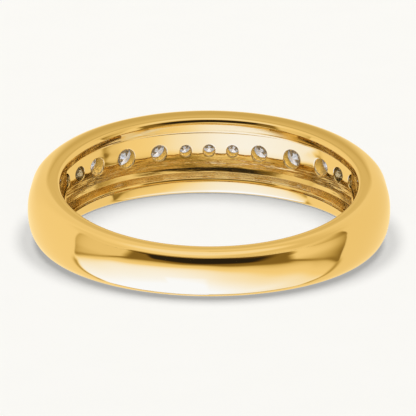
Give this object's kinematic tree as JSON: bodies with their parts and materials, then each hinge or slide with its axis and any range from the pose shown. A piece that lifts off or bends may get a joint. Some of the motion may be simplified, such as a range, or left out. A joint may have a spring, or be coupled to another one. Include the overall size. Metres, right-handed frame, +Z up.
{
  "type": "band ring",
  "caption": "Domed yellow gold band ring, wide at the head and narrow at the shank, hollowed behind the head, with a row of graduated round clear stones.",
  "frame": {"origin": "on the surface that the ring lies on, under the middle of its outline", "axes": "+Z up from the flat side that it lies on, +Y towards the head with the stones, -Y towards the shank, +X across"},
  "size_m": [0.0202, 0.0202, 0.0046],
  "materials": {
    "yellow_gold": "polished yellow gold, with a matt as-cast hollow behind the head",
    "clear_stone": "clear faceted gemstone"
  },
  "bodies": {
    "root": {"band": "yellow_gold", "stone_01": "clear_stone", "stone_02": "clear_stone", "stone_03": "clear_stone", "stone_04": "clear_stone", "stone_05": "clear_stone", "stone_06": "clear_stone", "stone_07": "clear_stone", "stone_08": "clear_stone", "stone_09": "clear_stone", "stone_10": "clear_stone", "stone_11": "clear_stone", "stone_12": "clear_stone", "stone_13": "clear_stone"}
  },
  "joints": []
}
